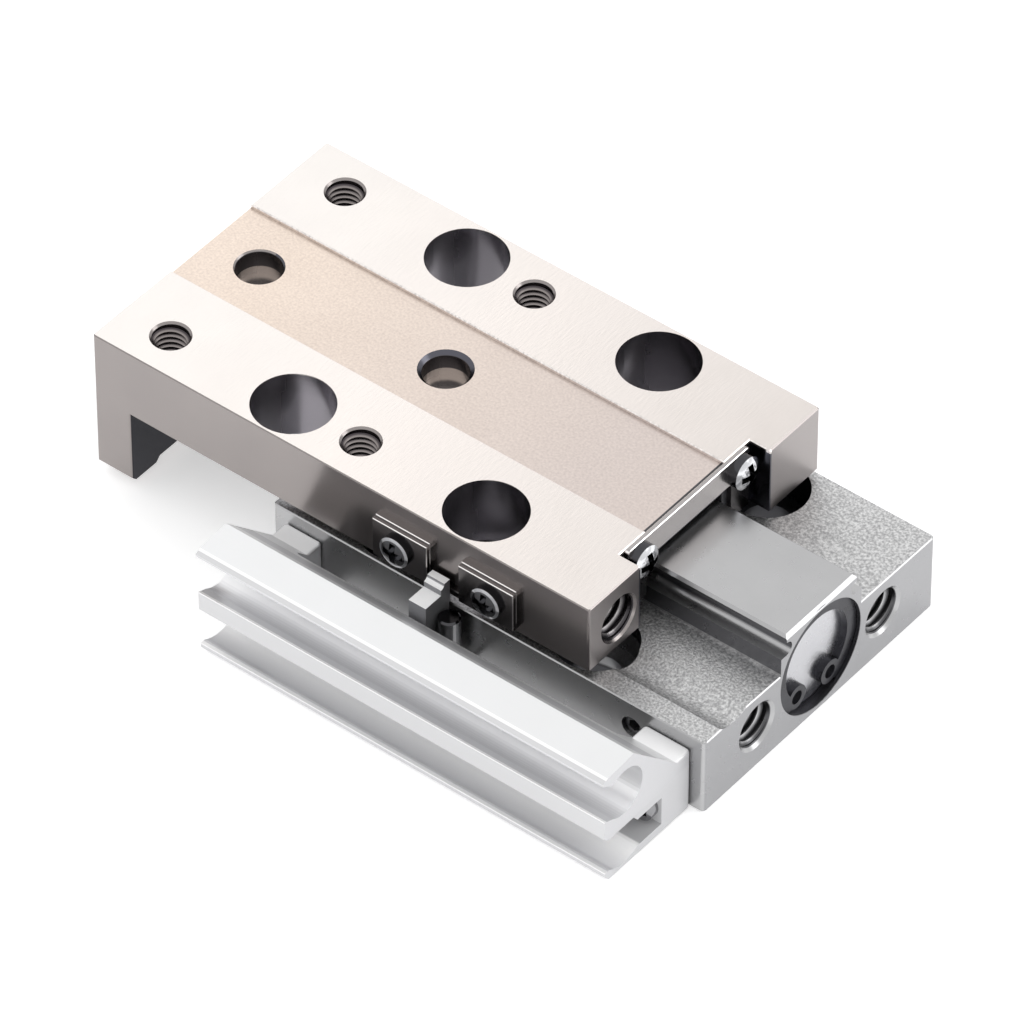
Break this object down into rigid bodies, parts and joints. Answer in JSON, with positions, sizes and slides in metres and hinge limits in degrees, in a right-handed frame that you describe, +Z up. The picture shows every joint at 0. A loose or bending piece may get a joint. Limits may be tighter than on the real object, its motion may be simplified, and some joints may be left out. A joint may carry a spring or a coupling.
{
  "type": "pneumatic slide table",
  "caption": "Compact pneumatic slide table: a ball-guided table with an end leg rides the rail of a low cylinder body, with a slotted switch rail along its side.",
  "frame": {"origin": "centre of the body's flat underside", "axes": "+X along the stroke from the leg to the port end, +Z up from the mounting face to the table, -Y is the side of the switch rail"},
  "size_m": [0.0792, 0.0521, 0.0191],
  "materials": {
    "body_metal": "fine shot blasted top, ground rail and milled end faces",
    "cap_metal": "turned",
    "seal_rubber": "smooth",
    "ring_steel": "black oxide",
    "bush_bronze": "sintered",
    "plug_steel": "black oxide",
    "switch_rail_metal": "clear satin anodised extrusion",
    "screw_steel": "bright zinc",
    "table_steel": "nickel plated, ground",
    "guide_plastic": "moulded",
    "plate_steel": "stamped sheet",
    "ball_steel": "polished",
    "rod_steel": "hard chromed and polished",
    "wear_ring_plastic": "smooth",
    "bumper_rubber": "smooth",
    "holder_steel": "cast and tumbled",
    "magnet_metal": "nickel plated"
  },
  "bodies": {
    "body": {"body": "body_metal", "head_cap": "cap_metal", "head_cap_o_ring": "seal_rubber", "head_retaining_ring": "ring_steel", "rod_cover": "cap_metal", "rod_cover_o_ring": "seal_rubber", "rod_bush": "bush_bronze", "rod_seal": "seal_rubber", "rod_retaining_ring": "ring_steel", "cross_drilling_plugs": "plug_steel", "air_passage_plug": "plug_steel", "switch_rail": "switch_rail_metal", "switch_rail_screws": "screw_steel"},
    "table": {"table": "table_steel", "head_return_guide": "guide_plastic", "rod_return_guides": "guide_plastic", "head_end_plate": "plate_steel", "rod_end_plates": "plate_steel", "end_plate_screws": "screw_steel", "load_balls": "ball_steel", "return_balls": "ball_steel", "piston_rod": "rod_steel", "piston": "cap_metal", "piston_seal": "seal_rubber", "wear_ring": "wear_ring_plastic", "piston_bumpers": "bumper_rubber", "rod_washers": "screw_steel", "rod_nut": "screw_steel", "clamp_plates": "plate_steel", "holder_bracket": "plate_steel", "clamp_plate_screws": "screw_steel", "magnet_holder": "holder_steel", "magnet": "magnet_metal"}
  },
  "joints": [
    {"name": "table_slide", "type": "slide", "parent": "body", "child": "table", "axis": [-1, 0, 0], "range_m": [-0.0141, 0.0059]}
  ]
}
